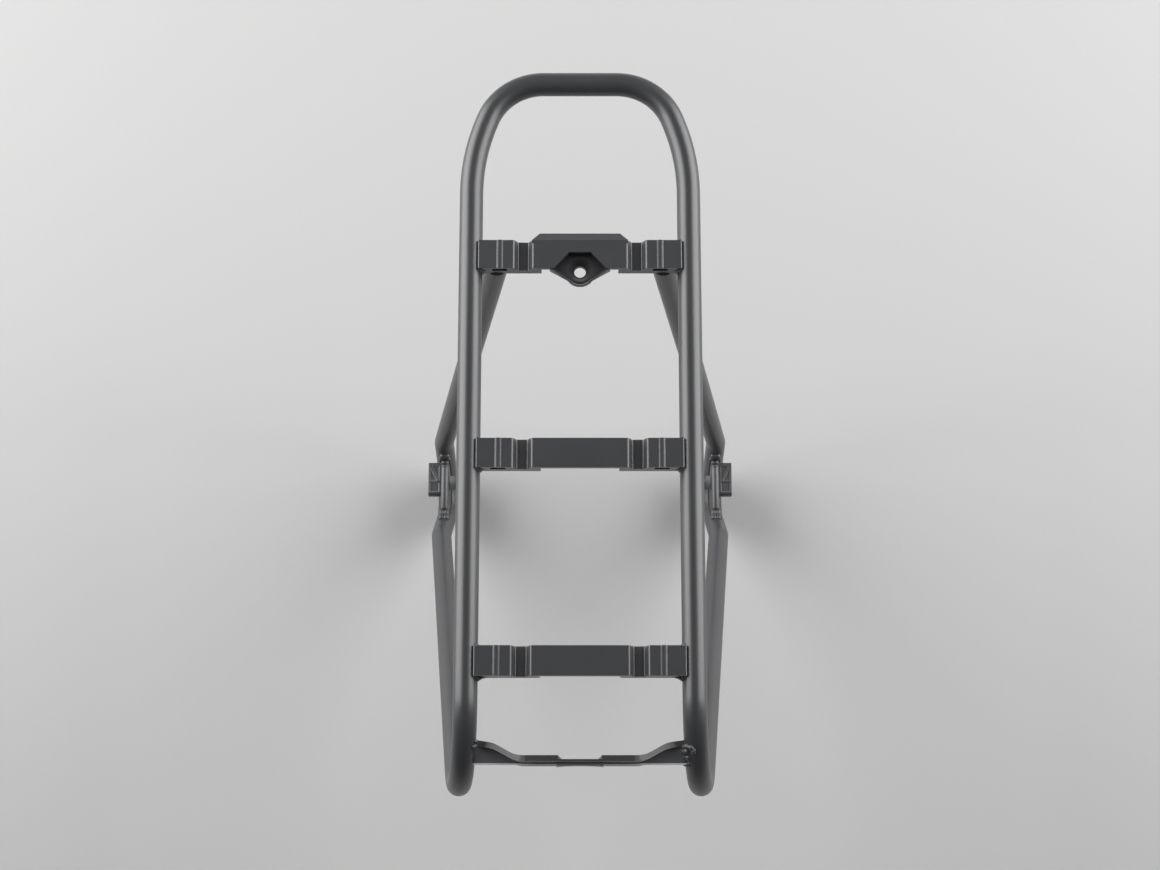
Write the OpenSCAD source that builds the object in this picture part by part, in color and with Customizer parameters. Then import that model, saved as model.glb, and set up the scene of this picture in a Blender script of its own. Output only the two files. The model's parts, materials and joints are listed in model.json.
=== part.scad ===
// Rear luggage carrier for a bicycle: one bent deck hoop, two front legs that end in V feet,
// three slotted crossbars, a rear light bracket and a bolted mount at each foot.
// Millimetres, +X right, +Y towards the front loop, +Z up.
// The origin is on the ground, under the middle of the deck.

/* [Tube] */
// Outer diameter of every tube
tube_d = 14; // [12:0.5:15]
// Wall thickness of the tubes
tube_wall = 2; // [1:0.25:2.5]

/* [Deck] */
// Overall length, from the front of the loop to the back of the rear bends
deck_length = 431; // [424:1:460]
// Distance between the centre lines of the two rails
rail_spacing = 130; // [126:1:134]
// Height of the rails' centre line above the lowest point of the feet
deck_height = 367.5; // [355:0.5:390]
// Distance between the two sharp corners of the front loop, before rounding
loop_corner_spacing = 92.8; // [90:0.2:95]
// Distance from the front of the loop back to where the rails run parallel, before rounding
loop_taper_length = 45.7; // [45:0.1:50]
// Bend radius of the loop's two corners
loop_corner_r = 36; // [30:1:36]
// Bend radius where each rail starts to turn in towards the loop
loop_shoulder_r = 125; // [80:1:125]

/* [Legs] */
// Bend radius between a rail and its rear leg
rear_bend_r = 45.4; // [42:0.2:50]
// Distance between the middle planes of the two feet
foot_spacing = 198; // [190:1:206]
// Position along the deck of the foot's lowest point
foot_y = 30.3; // [26:0.1:34]
// Bend radius at the bottom of each foot
foot_bend_r = 20; // [18:0.5:22]
// Bend radius where each leg meets its foot
knee_r = 26; // [22:0.5:30]
// Position along the deck of the rear knee
rear_knee_y = -12.6; // [-16:0.1:-8]
// Height of the rear knee
rear_knee_z = 75.3; // [70:0.1:80]
// Position along the deck of the front knee
front_knee_y = 59.6; // [57:0.1:64]
// Height of the front knee
front_knee_z = 61; // [57:0.1:66]
// Sideways position of a front leg's top end
leg_top_x = 49.3; // [48:0.1:50.5]
// Position along the deck of a front leg's top end
leg_top_y = 95; // [94.5:0.1:96]

/* [Crossbars] */
// Overall length of a crossbar
bar_length = 121; // [119:0.1:123]
// Width of a crossbar along the deck
bar_width = 17.5; // [16.5:0.1:18.5]
// Height of a crossbar
bar_height = 10.2; // [9.6:0.1:11]
// Height of a crossbar's top face above the rails' centre line
bar_top = 7.5; // [7.2:0.1:8]
// Distance between neighbouring crossbars
bar_pitch = 120.7; // [115:0.1:124]
// Position of the front crossbar along the deck
front_bar_y = 97.8; // [96:0.1:99]
// Distance between the middles of the two top notches
notch_spacing = 67.2; // [66:0.1:69]
// Width of a notch at its flat floor
notch_floor = 5; // [4:0.1:6]
// Depth of a notch
notch_depth = 4.7; // [3:0.1:5]
// Steepness of a notch's sides, in degrees
notch_slope = 65; // [55:1:70]
// Bore of the fixing hole in the front crossbar
stay_bore = 7; // [5:0.1:7.4]

/* [Rear light bracket] */
// Distance between the two light fixing holes
light_hole_spacing = 50; // [45:1:50]
// Diameter of the light fixing holes
light_hole_d = 5.5; // [4.5:0.1:6.5]
// Height of the bracket's upright wall
light_wall_h = 31; // [28:1:34]
// Thickness of the bracket's upright wall
light_wall_t = 3.5; // [3:0.1:4]

/* [Foot mounts] */
// Thickness of the plate welded into each foot
plate_t = 5.8; // [5:0.1:8]
// Diameter of the mounting bolt's shank
bolt_d = 6; // [5:0.5:6]
// Height of the mounting bolt's axis above the ground
bolt_z = 36; // [35:0.5:38]
// Position of the mounting bolt's axis along the deck
bolt_y = 35; // [34:0.5:37]
// Thickness of the cast block on the outside of each foot
block_t = 9.2; // [8:0.1:10]
// Length of the block along the deck
block_length = 24.8; // [22:0.1:26]
// Length of the spacer on the inside of each foot
spacer_l = 9.5; // [7:0.5:12]

/* [Hidden] */
$fn = 64;

PAINT = "#4a4c50";
STEEL = "#9a9ca0";

tube_r = tube_d / 2;
bore_r = tube_r - tube_wall;
rail_x = rail_spacing / 2;
front_y = deck_length / 2 - tube_r;
rear_y = -front_y;
foot_x = foot_spacing / 2;
bar_z = deck_height + bar_top - bar_height;
bar_y = [front_bar_y, front_bar_y - bar_pitch, front_bar_y - 2 * bar_pitch];
// Cuts reach this far past the faces that they open
past = 1;

// ---- Where the bends go ----

// The rear bend lies in the plane of the rail and the rear knee. The leg is the tangent from
// the knee to the bend's circle, whose backmost point is the back of the deck.
knee_drop = norm([foot_x - rail_x, deck_height - rear_knee_z]);
bend_to_knee = [rear_knee_y - rear_y - rear_bend_r, rear_bend_r - knee_drop];
rear_turn = 270 + atan2(bend_to_knee.y, bend_to_knee.x)
    - acos(rear_bend_r / norm(bend_to_knee));
rear_corner_y = rear_y + rear_bend_r - rear_bend_r * tan(rear_turn / 2);

// The foot's bend touches the ground, and both arms of the V are tangents to it.
foot_c = [foot_y, foot_bend_r + tube_r];
to_rear_knee = [rear_knee_y, rear_knee_z] - foot_c;
to_front_knee = [front_knee_y, front_knee_z] - foot_c;
rear_touch = atan2(to_rear_knee.y, to_rear_knee.x)
    + acos(foot_bend_r / norm(to_rear_knee)) - 360;
front_touch = atan2(to_front_knee.y, to_front_knee.x)
    - acos(foot_bend_r / norm(to_front_knee));
foot_mid = (rear_touch + front_touch) / 2;
foot_reach = foot_bend_r / cos((front_touch - rear_touch) / 2);

loop_corner = [loop_corner_spacing / 2, front_y, deck_height];
shoulder = [rail_x, front_y - loop_taper_length, deck_height];
rear_corner = [rail_x, rear_corner_y, deck_height];
rear_knee = [foot_x, rear_knee_y, rear_knee_z];
foot_corner = [
    foot_x,
    foot_c.x + foot_reach * cos(foot_mid),
    foot_c.y + foot_reach * sin(foot_mid)
];
front_knee = [foot_x, front_knee_y, front_knee_z];
leg_top = [leg_top_x, leg_top_y, bar_z];

// The hoop's tube is butted to the foot's tube this far below the rear knee
butt_below_knee = 30;
butt = rear_knee + butt_below_knee * unit(foot_corner - rear_knee);
// The front leg runs on into the crossbar before it is cut flush
leg_run_on = 6;

function unit(v) = v / norm(v);
function flip(p) = [-p.x, p.y, p.z];
function reversed(list) = [for (i = [len(list) - 1 : -1 : 0]) list[i]];
function turn_at(a, b, c) = acos(max(-1, min(1, unit(b - a) * unit(c - b))));
// How far a bend's tangent points are from its corner
function setback(path, radii, i) =
    i == 0 || i == len(path) - 1
        ? 0
        : radii[i] * tan(turn_at(path[i - 1], path[i], path[i + 1]) / 2);
function arc(centre, r, from, to, steps) =
    [for (i = [0 : steps]) let (a = from + (to - from) * i / steps)
        centre + r * [cos(a), sin(a)]];

// ---- Bent round bar ----

// Puts +Z along the unit vector z and +X along the unit vector x, at the point p
module place(p, x, z) {
    y = cross(z, x);
    multmatrix([
        [x.x, y.x, z.x, p.x],
        [x.y, y.y, z.y, p.y],
        [x.z, y.z, z.z, p.z],
        [0, 0, 0, 1]
    ]) children();
}

module straight(a, b, r, bore = 0) {
    along = unit(b - a);
    side = unit(cross(along, abs(along.z) < 0.9 ? [0, 0, 1] : [1, 0, 0]));
    length = norm(b - a);
    place(a, side, along) linear_extrude(length) tube_section(r, bore);
}

module bend(a, b, c, radius, r, bore = 0) {
    turn = turn_at(a, b, c);
    into = unit(b - a);
    start = b - into * radius * tan(turn / 2);
    axis = unit(cross(into, c - b));
    inward = cross(axis, into);
    place(start + inward * radius, -inward, axis)
        rotate_extrude(angle = turn) translate([radius, 0]) tube_section(r, bore);
}

module tube_section(r, bore) {
    difference() {
        circle(r = r);
        if (bore > 0) circle(r = bore);
    }
}

// Round tube or bar along straight runs, with a bend at each inner corner. The bends are a hair
// thicker than the runs, and each run ends a little inside its bend, so the two fuse cleanly.
lap = 0.3;
swell = 0.03;

module bent_tube(path, radii, r = tube_r, bore = bore_r) {
    last = len(path) - 1;
    for (i = [0 : last - 1]) {
        dir = unit(path[i + 1] - path[i]);
        straight(
            path[i] + dir * (i == 0 ? 0 : setback(path, radii, i) - lap),
            path[i + 1] - dir * (i == last - 1 ? 0 : setback(path, radii, i + 1) - lap),
            r, bore
        );
    }
    for (i = [1 : last - 1])
        bend(path[i - 1], path[i], path[i + 1], radii[i], r + swell, bore > 0 ? bore - swell : 0);
}

// ---- Tubes ----

hoop_side = [butt, rear_knee, rear_corner, shoulder, loop_corner];
hoop_radii = [0, knee_r, rear_bend_r, loop_shoulder_r, loop_corner_r];
hoop_path = [each hoop_side, each [for (p = reversed(hoop_side)) flip(p)]];
leg_path = [butt, foot_corner, front_knee, leg_top + leg_run_on * unit(leg_top - front_knee)];
leg_radii = [0, foot_bend_r, knee_r, 0];

module deck_hoop() {
    color(PAINT) bent_tube(hoop_path, [each hoop_radii, each reversed(hoop_radii)]);
}

module right_front_leg() {
    color(PAINT) difference() {
        bent_tube(leg_path, leg_radii);
        above_bar_underside();
    }
}

module left_front_leg() {
    mirror([1, 0, 0]) right_front_leg();
}

module above_bar_underside() {
    half = 20;
    translate([leg_top_x - half, leg_top_y - half, bar_z]) cube([2 * half, 2 * half, half]);
}

// The rails' straight runs, without a bore
module rails_solid() {
    for (side = [-1, 1])
        straight(
            [side * rail_x, rear_corner_y, deck_height],
            [side * rail_x, shoulder.y - setback(hoop_path, hoop_radii, 3), deck_height],
            tube_r
        );
}

// ---- Crossbars ----

bar_end_round = 0.9;
notch_lip_r = 1.7;
notch_root_r = 1.15;
bar_notch_half = notch_floor / 2 + (notch_lip_r + notch_root_r) * sin(notch_slope)
    + (notch_depth - (notch_lip_r + notch_root_r) * (1 - cos(notch_slope))) / tan(notch_slope);
// Rounded rib on the top face, between each notch and the bar's end
rib_x = 47.5;
rib_w = 4.4;
rib_h = 0.6;
rib_r = (rib_w * rib_w / 4 + rib_h * rib_h) / (2 * rib_h);
// The middle of the bar is open at the back and below
bar_skin = 3;
bar_skirt = 2.5;
window_half = 22.8;
// Blind slots in the rear face, under the top skin
slot_x = 47.6;
slot_w = 8.7;
slot_h = 3.6;
slot_depth = 8;
slot_drop = 1.6;

// Top outline of the bar's right half, from the middle out to the end
function bar_outline(half, top) = let (
    middle = notch_spacing / 2,
    lip = notch_lip_r,
    root = [notch_floor / 2, top - notch_depth + notch_root_r],
    rib_spread = asin(rib_w / 2 / rib_r),
    steps = 8
) [
    each arc([middle - bar_notch_half, top - lip], lip, 90, 90 - notch_slope, steps),
    each arc([middle - root.x, root.y], notch_root_r, 270 - notch_slope, 270, steps),
    each arc([middle + root.x, root.y], notch_root_r, 270, 270 + notch_slope, steps),
    each arc([middle + bar_notch_half, top - lip], lip, 90 + notch_slope, 90, steps),
    each arc([rib_x, top + rib_h - rib_r], rib_r, 90 + rib_spread, 90 - rib_spread, steps),
    each arc([half - bar_end_round, top - bar_end_round], bar_end_round, 90, 0, steps)
];

module bar_section() {
    right = bar_outline(bar_length / 2, bar_height);
    left = [for (p = reversed(right)) [-p.x, p.y]];
    polygon([[-bar_length / 2, 0], each left, each right, [bar_length / 2, 0]]);
}

// A plain bar, centred on the origin along X and Y, with its underside at z = 0
module bar_blank() {
    translate([0, bar_width / 2, 0]) rotate([90, 0, 0]) linear_extrude(bar_width) bar_section();
}

module bar_window() {
    translate([-window_half, -bar_width / 2 - past, -past])
        cube([2 * window_half, bar_width - bar_skirt + past, bar_height - bar_skin + past]);
}

// Pocket under each notch's inner shoulder, from below
module bar_pockets() {
    length = notch_spacing - 2 * window_half - 2 * bar_skirt;
    depth = bar_height - notch_depth - bar_skin + past;
    for (side = [-1, 1])
        translate([side * notch_spacing / 2, 0, depth / 2 - past])
            cube([length, bar_width - 2 * bar_skirt, depth], center = true);
}

module bar_slots() {
    floor_z = bar_height - slot_drop - slot_h;
    for (side = [-1, 1])
        translate([side * slot_x - slot_w / 2, -bar_width / 2 - past, floor_z])
            cube([slot_w, slot_depth + past, slot_h]);
}

module crossbar_at(y, slots) {
    difference() {
        translate([0, y, bar_z]) difference() {
            bar_blank();
            bar_window();
            bar_pockets();
            if (slots) bar_slots();
        }
        rails_solid();
    }
}

// The front bar's housing is measured from the bar's middle
housing_tip_r = 9;
housing_tip_y = -11.1;
housing_half = 17.8;
housing_wall = 1.7;
housing_base = 1.4;
housing_below = 2;
// The housing's rim is this much lower than the bar's top face
housing_step = 0.8;
pocket_depth = 5.2;
funnel_r = 7.3;
funnel_depth = 4.2;
stay_y = -8.2;

// Plan of the housing: straight sides that run into a round tip
module housing_plan(inset) {
    tip_r = housing_tip_r - inset;
    reach = norm([housing_half - inset, bar_width / 2 + housing_tip_y]);
    touch = -atan2(abs(bar_width / 2 + housing_tip_y), housing_half - inset)
        - acos(tip_r / reach);
    side = [tip_r * cos(touch), housing_tip_y + tip_r * sin(touch)];
    polygon([
        [housing_half - inset, -bar_width / 2],
        side,
        [-side.x, side.y],
        [-housing_half + inset, -bar_width / 2]
    ]);
    translate([0, housing_tip_y]) circle(r = tip_r);
}

// Plan of the pocket, or of the base under it when it is grown by the wall's thickness
module pocket_plan(grow = 0) {
    front = 1.2;
    front_half = 6.5;
    wide_half = 15.6;
    rear = -bar_width / 2 - 0.01;
    housing_plan(housing_wall - grow);
    polygon([
        [front_half + 0.4 * grow, front + grow], [wide_half + 1.4 * grow, rear],
        [-wide_half - 1.4 * grow, rear], [-front_half - 0.4 * grow, front + grow]
    ]);
}

// Lip that slopes down and forward from the front edge
module front_lip() {
    reach = 5.2;
    drop = 3.4;
    thick = 3;
    base_half = 28.5;
    tip_half = 23.8;
    root = 2;
    edge = bar_width / 2;
    intersection() {
        translate([-base_half, 0, 0]) rotate([90, 0, 90]) linear_extrude(2 * base_half) polygon([
            [edge - root, bar_height], [edge, bar_height],
            [edge + reach, bar_height - drop], [edge + reach, bar_height - drop - thick],
            [edge, bar_height - thick - 1], [edge - root, bar_height - thick - 1]
        ]);
        linear_extrude(2 * bar_height) polygon([
            [-base_half, edge - root], [base_half, edge - root], [base_half, edge],
            [tip_half, edge + reach], [-tip_half, edge + reach], [-base_half, edge]
        ]);
    }
}

// Base and walls round the pocket, and the boss under its funnel
module housing() {
    pocket_floor = bar_height - pocket_depth;
    funnel_bottom = pocket_floor - funnel_depth;
    base_z = pocket_floor - housing_base;
    boss_r = stay_bore / 2 + 2.6;
    boss_top_r = funnel_r + housing_wall;
    lap_into_skin = 0.5;
    translate([0, 0, base_z])
        linear_extrude(bar_height - housing_step - base_z) housing_plan(0);
    translate([0, 0, base_z])
        linear_extrude(bar_height - bar_skin + lap_into_skin - base_z) pocket_plan(housing_wall);
    translate([0, stay_y, -housing_below])
        cylinder(h = funnel_bottom + housing_below, r = boss_r);
    translate([0, stay_y, funnel_bottom])
        cylinder(h = funnel_depth, r1 = boss_r, r2 = boss_top_r);
}

module front_crossbar() {
    pocket_floor = bar_height - pocket_depth;
    color(PAINT) difference() {
        union() {
            crossbar_at(bar_y[0], true);
            translate([0, bar_y[0], bar_z]) {
                housing();
                front_lip();
            }
        }
        translate([0, bar_y[0], bar_z]) {
            translate([0, 0, pocket_floor]) linear_extrude(bar_height) pocket_plan();
            translate([0, stay_y, pocket_floor - funnel_depth])
                cylinder(h = funnel_depth, r1 = stay_bore / 2 + 0.5, r2 = funnel_r);
            translate([0, stay_y, -housing_below - past])
                cylinder(h = bar_height, d = stay_bore);
        }
    }
}

module middle_crossbar() {
    color(PAINT) crossbar_at(bar_y[1], true);
}

module rear_crossbar() {
    color(PAINT) crossbar_at(bar_y[2], false);
}

// ---- Rear light bracket ----

// Front face of the bracket's wall, and its heights against the rails' centre line
wall_front_y = rear_y + 12.7;
wall_top = -3;
web_top = -11.5;
web_t = 3;
// The web stands this far out behind the wall
web_proud = 1;
wall_flat_half = 32;
wall_curve_r = 16;
wall_slope = 30;
wall_end_slope = 10;
wall_run = 8;
notch_half = 10.5;
notch_drop = 24;
notch_recess = 2.2;
pad_half = 13.4;
pad_proud = 1.3;
// The pad's rear edge is hollow by this much in its middle
pad_hollow = 0.6;
pad_r = (pad_half * pad_half + pad_hollow * pad_hollow) / (2 * pad_hollow);
// The wall's top edge slopes down this far on its way out to the tube
wall_top_fall = 11;

// Middle line of the wall's right half, as its front face in plan
curve_1 = arc([wall_flat_half, wall_curve_r], wall_curve_r, -90, wall_slope - 90, 5);
run_end = curve_1[5] + wall_run * [cos(wall_slope), sin(wall_slope)];
curve_2 = arc(run_end + wall_curve_r * [sin(wall_slope), -cos(wall_slope)], wall_curve_r,
    90 + wall_slope, 90 + wall_end_slope, 5);
wall_end = curve_2[5] + 14 * [cos(wall_end_slope), sin(wall_end_slope)];
wall_line = [[0, 0], each curve_1, each curve_2, wall_end];

module wall_plan() {
    back = [for (p = reversed(wall_line)) p - [0, light_wall_t]];
    polygon([each wall_line, each back]);
}

module web_plan() {
    rear = -light_wall_t - web_proud;
    polygon([
        each [for (p = wall_line) p - [0, 0.5]],
        [wall_end.x, rear], [0, rear]
    ]);
}

// Pad with a slightly hollow rear edge, in the middle of the web's rear edge
module pad_plan() {
    rear = -light_wall_t - web_proud - pad_proud;
    difference() {
        translate([-pad_half, rear]) square([2 * pad_half, pad_proud + web_proud]);
        translate([0, rear + pad_hollow - pad_r]) circle(r = pad_r, $fn = 256);
    }
}

module rear_light_bracket() {
    color(PAINT) difference() {
        translate([0, wall_front_y, deck_height]) difference() {
            union() {
                for (side = [0, 1]) mirror([side, 0, 0]) {
                    translate([0, 0, wall_top - light_wall_h])
                        linear_extrude(light_wall_h) wall_plan();
                    translate([0, 0, web_top - web_t])
                        linear_extrude(web_t) web_plan();
                }
                translate([0, 0, web_top - web_t]) linear_extrude(web_t) pad_plan();
            }
            light_holes();
            wall_notch();
            wall_end_trim();
            wall_top_slope();
        }
        hoop_solid();
    }
}

module light_holes() {
    hole_drop = 0.62 * light_wall_h;
    for (side = [-1, 1])
        translate([side * light_hole_spacing / 2, past, wall_top - hole_drop])
            rotate([90, 0, 0]) cylinder(h = light_wall_t + 2 * past, d = light_hole_d);
}

// Cable recess in the wall's front face, with sloping ends
module wall_notch() {
    slope = 2;
    translate([0, past, wall_top]) rotate([90, 0, 0])
        linear_extrude(notch_recess + past) polygon([
            [-notch_half - slope, past], [-notch_half, -notch_drop],
            [notch_half, -notch_drop], [notch_half + slope, past]
        ]);
}

module wall_top_slope() {
    reach = 30;
    start_x = wall_flat_half + 1;
    end_x = wall_end.x + past;
    for (side = [0, 1]) mirror([side, 0, 0])
        translate([0, reach, wall_top]) rotate([90, 0, 0]) linear_extrude(2 * reach) polygon([
            [start_x, 0], [end_x, -wall_top_fall], [end_x, past], [start_x, past]
        ]);
}

// The wall is lower where it curves out to the tubes
module wall_end_trim() {
    reach = 20;
    start_x = wall_flat_half + 4;
    end_x = wall_end.x - 12;
    rise = light_wall_h - 18;
    for (side = [0, 1]) mirror([side, 0, 0])
        translate([0, reach, wall_top - light_wall_h]) rotate([90, 0, 0])
            linear_extrude(2 * reach) polygon([
                [start_x, -past], [end_x, rise],
                [wall_end.x + past, rise], [wall_end.x + past, -past]
            ]);
}

module hoop_solid() {
    bent_tube(hoop_path, [each hoop_radii, each reversed(hoop_radii)], bore = 0);
}

// ---- Foot mounts ----

// Plate that fills the V of the foot, from the inside of the tube's bend up to a level top edge
plate_top = 51.5;
dip_y = [foot_y - 19.4, foot_y + 14.2];
dip_w = 2.6;
dip_slope = 0.5;
dip_depth = 1.2;
// Every hole that the bolt passes through is this much wider than the bolt
bolt_play = 0.4;
thread_play = 0.1;

// Where the tube's inner side, on the plate's plane, comes up to a height
function inner_side_y(touch, z) = let (
    r = foot_bend_r - tube_r,
    p = foot_c + r * [cos(touch), sin(touch)]
) p.x - (z - p.y) * tan(touch);

function dip(y) = [
    [y + dip_w / 2, plate_top],
    [y + dip_w / 2 - dip_slope, plate_top - dip_depth],
    [y - dip_w / 2 + dip_slope, plate_top - dip_depth],
    [y - dip_w / 2, plate_top]
];

module plate_outline() {
    polygon([
        each arc(foot_c, foot_bend_r - tube_r, rear_touch, front_touch, 16),
        [inner_side_y(front_touch, plate_top), plate_top],
        each dip(dip_y[1]),
        each dip(dip_y[0]),
        [inner_side_y(rear_touch, plate_top), plate_top]
    ]);
}

module right_foot_plate() {
    color(PAINT) difference() {
        translate([foot_x - plate_t / 2, 0, 0]) rotate([90, 0, 90])
            linear_extrude(plate_t) plate_outline();
        translate([foot_x - plate_t, bolt_y, bolt_z]) rotate([0, 90, 0])
            cylinder(h = 2 * plate_t, d = bolt_d + bolt_play);
    }
}

module left_foot_plate() {
    mirror([1, 0, 0]) right_foot_plate();
}

block_x = foot_x + plate_t / 2;
// The block is a flat slab on top of a round lug about the bolt
slab_t = 5;
slab_corner_r = 2.4;
slab_top = 12.4;
lug_r = 9.5;
head_r = 5;
head_h = bolt_d;
washer_r = 6.2;
washer_t = 1.2;
head_seat = 2;
head_play = 0.3;
head_edge = 0.6;
block_pocket = 1;
nut_t = 5;
// The bolt's end stands this far out of the nut
bolt_end = 2;
spacer_x = foot_x - plate_t / 2 - spacer_l;

// Outline about the bolt's axis, with X along the deck
module block_outline() {
    half = block_length / 2;
    foot = slab_top - slab_t;
    translate([-half + slab_corner_r, foot]) square([block_length - 2 * slab_corner_r, slab_t]);
    translate([-half, foot]) square([block_length, slab_t - slab_corner_r]);
    for (x = [-half + slab_corner_r, half - slab_corner_r])
        translate([x, slab_top - slab_corner_r]) circle(r = slab_corner_r);
    polygon([
        [-half, foot + past], [-half, foot], [-lug_r, 0],
        [lug_r, 0], [half, foot], [half, foot + past]
    ]);
    circle(r = lug_r);
}

// Cast block with a counterbore for the bolt's head, weight-saving pockets on its upper side and
// a relief where its inner face meets the foot's front arm
module right_mount_block() {
    color(PAINT) difference() {
        translate([block_x, bolt_y, bolt_z]) rotate([90, 0, 90])
            linear_extrude(block_t) block_outline();
        translate([block_x - past, bolt_y, bolt_z]) rotate([0, 90, 0])
            cylinder(h = block_t + 2 * past, d = bolt_d + bolt_play);
        translate([block_x + head_seat, bolt_y, bolt_z]) rotate([0, 90, 0])
            cylinder(h = block_t, r = washer_r + head_play);
        translate([block_x, bolt_y, bolt_z + slab_top - block_pocket])
            linear_extrude(block_pocket + past) block_pocket_plan();
        straight(foot_corner, front_knee, tube_r + swell);
    }
}

// Two triangles on either side of a diagonal rib, and a rectangle behind them
module block_pocket_plan() {
    rib = 1.4;
    far = block_length / 2 - 3;
    near = 1;
    polygon([[rib, -near], [rib, far], [block_t - 2 * rib, far]]);
    polygon([[block_t - rib, far - 2], [block_t - rib, -near], [2.2 * rib, -near]]);
    translate([rib, -far]) square([block_t - 2 * rib, far - near - rib]);
}

module left_mount_block() {
    mirror([1, 0, 0]) right_mount_block();
}

// Socket head screw, head outwards
module right_mount_bolt() {
    tip_x = spacer_x - nut_t - bolt_end;
    head_x = block_x + head_seat + washer_t;
    edge_x = head_x + head_h - head_edge;
    socket_r = 2.9;
    socket_depth = 3;
    tip = 0.8;
    color(STEEL) translate([0, bolt_y, bolt_z]) rotate([0, 90, 0]) difference() {
        union() {
            translate([0, 0, tip_x + tip]) cylinder(h = head_x - tip_x - tip, d = bolt_d);
            translate([0, 0, tip_x]) cylinder(h = tip, d1 = bolt_d - 2 * tip, d2 = bolt_d);
            translate([0, 0, head_x]) cylinder(h = head_h - head_edge, r = head_r);
            translate([0, 0, edge_x]) cylinder(h = head_edge, r1 = head_r, r2 = head_r - head_edge);
        }
        translate([0, 0, head_x + head_h - socket_depth])
            cylinder(h = socket_depth + past, r = socket_r, $fn = 6);
    }
}

module left_mount_bolt() {
    mirror([1, 0, 0]) right_mount_bolt();
}

module ring(x, thick, outer_r, inner_r) {
    translate([x, bolt_y, bolt_z]) rotate([0, 90, 0]) difference() {
        cylinder(h = thick, r = outer_r);
        translate([0, 0, -past]) cylinder(h = thick + 2 * past, r = inner_r);
    }
}

module right_bolt_washer() {
    color(STEEL) ring(block_x + head_seat, washer_t, washer_r, (bolt_d + bolt_play) / 2);
}

module left_bolt_washer() {
    mirror([1, 0, 0]) right_bolt_washer();
}

// Stepped spacer that holds the foot off the bicycle's frame
module right_mount_spacer() {
    neck_r = bolt_d / 2 + 2;
    flange_r = bolt_d / 2 + 4;
    flange_t = 2.5;
    cone_t = 3;
    neck_t = spacer_l - flange_t - cone_t;
    color(STEEL) translate([spacer_x, bolt_y, bolt_z]) rotate([0, 90, 0]) difference() {
        union() {
            cylinder(h = flange_t, r = flange_r);
            translate([0, 0, flange_t]) cylinder(h = cone_t, r1 = flange_r, r2 = neck_r);
            translate([0, 0, flange_t + cone_t]) cylinder(h = neck_t, r = neck_r);
        }
        translate([0, 0, -past]) cylinder(h = spacer_l + 2 * past, d = bolt_d + bolt_play);
    }
}

module left_mount_spacer() {
    mirror([1, 0, 0]) right_mount_spacer();
}

// Hexagon nut that keeps the screw and spacer on the carrier until it is fitted
module right_mount_nut() {
    nut_r = 5.8;
    color(STEEL) translate([spacer_x - nut_t, bolt_y, bolt_z]) rotate([0, 90, 0]) difference() {
        cylinder(h = nut_t, r = nut_r, $fn = 6);
        translate([0, 0, -past]) cylinder(h = nut_t + 2 * past, d = bolt_d + thread_play);
    }
}

module left_mount_nut() {
    mirror([1, 0, 0]) right_mount_nut();
}

// ---- Weld beads ----

// Fillet in the corner between a crossbar's face and a rail, in plan at the origin
module corner_fillet(size) {
    difference() {
        translate([-size, 0]) square([size, size]);
        translate([-size, size]) circle(r = size);
    }
}

// The fillets at the back of the rear crossbar are the largest
module crossbar_welds() {
    big = 6;
    small = 3;
    into_rail = 3;
    margin = 1;
    bead_h = 4.2;
    $fn = 192;
    color(PAINT) difference() {
        for (side = [0, 1], i = [0 : 2], end = [-1, 1]) mirror([side, 0, 0])
            translate([rail_x - tube_r + into_rail, bar_y[i] + end * bar_width / 2, bar_z + margin])
                mirror([0, end < 0 ? 1 : 0, 0]) linear_extrude(bead_h)
                    corner_fillet(into_rail + (i == 2 && end < 0 ? big : small));
        rails_solid();
    }
}

module front_leg_welds() {
    bead = 1.4;
    foot = 0.2;
    reach = 30;
    dir = unit(leg_top - front_knee);
    color(PAINT) for (side = [0, 1]) mirror([side, 0, 0]) difference() {
        translate([leg_top_x, leg_top_y, bar_z - bead])
            cylinder(h = bead, r1 = tube_r + foot, r2 = tube_r + bead);
        straight(leg_top - reach * dir, leg_top + reach * dir, tube_r);
    }
}

// Short beads behind the bracket's wall, run into the wall and the tube
module bracket_welds() {
    bead_r = 2.2;
    bead_h = 5.7;
    color(PAINT) for (side = [0, 1]) mirror([side, 0, 0])
        for (p = [[57.6, 5.4], [59.2, 9.4]])
            translate([p.x, wall_front_y + p.y, deck_height + web_top - bead_h + 1.2])
                cylinder(h = bead_h, r1 = bead_r, r2 = bead_r - 0.6);
}

// A fillet at each end of each plate's top edge, where it meets the tube
module foot_plate_welds() {
    leg = 6;
    bead_w = plate_t + 1.5;
    front_end = inner_side_y(front_touch, plate_top);
    rear_end = inner_side_y(rear_touch, plate_top);
    lean_front = -tan(front_touch) * leg;
    lean_rear = -tan(rear_touch) * leg;
    color(PAINT) for (side = [0, 1]) mirror([side, 0, 0])
        translate([foot_x - bead_w / 2, 0, 0]) rotate([90, 0, 90]) linear_extrude(bead_w) {
            polygon([
                [front_end - leg, plate_top], [front_end, plate_top],
                [front_end + lean_front, plate_top + leg]
            ]);
            polygon([
                [rear_end + leg, plate_top], [rear_end, plate_top],
                [rear_end + lean_rear, plate_top + leg]
            ]);
        }
}

deck_hoop();
left_front_leg();
right_front_leg();
front_crossbar();
middle_crossbar();
rear_crossbar();
rear_light_bracket();
left_foot_plate();
right_foot_plate();
left_mount_block();
right_mount_block();
left_mount_bolt();
right_mount_bolt();
left_bolt_washer();
right_bolt_washer();
left_mount_spacer();
right_mount_spacer();
left_mount_nut();
right_mount_nut();
crossbar_welds();
front_leg_welds();
bracket_welds();
foot_plate_welds();
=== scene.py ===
import json
import math
import random

import bmesh
import bpy
from mathutils import Matrix, Vector

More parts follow.
